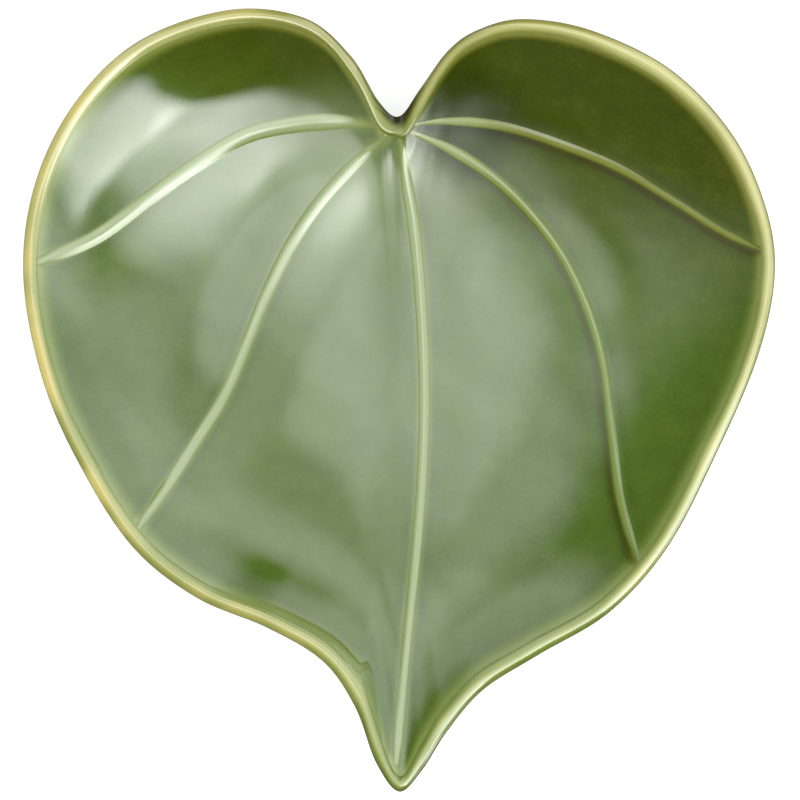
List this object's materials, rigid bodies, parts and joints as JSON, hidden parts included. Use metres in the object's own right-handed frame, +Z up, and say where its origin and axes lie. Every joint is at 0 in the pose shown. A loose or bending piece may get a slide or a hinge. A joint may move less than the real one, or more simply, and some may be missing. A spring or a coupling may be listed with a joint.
{
  "type": "leaf-shaped serving plate",
  "caption": "Shallow heart-shaped leaf dish in glazed stoneware, with a rounded lip, five raised veins spreading from the notch and a low round foot.",
  "frame": {"origin": "on the table plane, under the middle of the leaf's length and width", "axes": "+Z up out of the dish, +Y from the tip towards the notch and lobes, +X to the right as seen from above"},
  "size_m": [0.2297, 0.2395, 0.0342],
  "materials": {
    "leaf_glaze": "glossy translucent green glaze over pale stoneware, darker where it pools",
    "lip_glaze": "the same glaze broken thin to cream yellow on the rounded lip",
    "vein_glaze": "the same glaze broken thin to pale green on the raised veins",
    "bare_clay": "unglazed fired stoneware, matt and slightly sandy"
  },
  "bodies": {
    "plate": {"leaf_blade": "leaf_glaze", "rim_lip": "lip_glaze", "midrib": "vein_glaze", "left_lower_vein": "vein_glaze", "left_upper_vein": "vein_glaze", "right_lower_vein": "vein_glaze", "right_upper_vein": "vein_glaze", "foot_ring": "bare_clay"}
  },
  "joints": []
}
